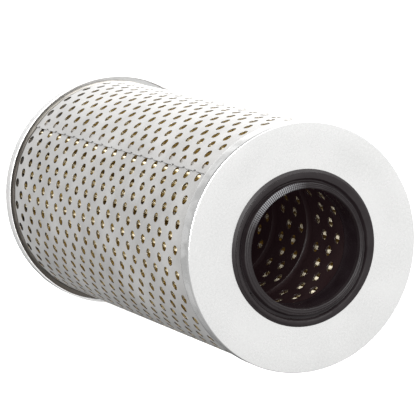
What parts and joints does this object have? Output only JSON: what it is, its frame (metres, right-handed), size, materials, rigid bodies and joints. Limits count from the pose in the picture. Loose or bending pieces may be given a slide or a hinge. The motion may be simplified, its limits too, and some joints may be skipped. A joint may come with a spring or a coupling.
{
  "type": "pleated filter element",
  "caption": "Cylindrical pleated filter element with a perforated steel wrap, a beaded core tube, pressed end caps and a rubber seal at its open end.",
  "frame": {"origin": "centre of the closed cap's outer face, where the element stands", "axes": "+Z along the element's axis, towards the open end with the seal; the wrap's lap seam is on the +X side"},
  "size_m": [0.1358, 0.1358, 0.253],
  "materials": {
    "galvanised_steel": "galvanised, fine grained, satin",
    "black_steel": "gloss black coating",
    "filter_paper": "resin-treated, matte",
    "adhesive": "cast, satin",
    "black_rubber": "moulded, satin"
  },
  "bodies": {
    "root": {"open_end_cap": "galvanised_steel", "closed_end_cap": "galvanised_steel", "open_end_potting": "adhesive", "closed_end_potting": "adhesive", "outer_wrap": "galvanised_steel", "center_tube": "black_steel", "pleated_media": "filter_paper", "seam_clip": "galvanised_steel", "rubber_seal": "black_rubber"}
  },
  "joints": []
}
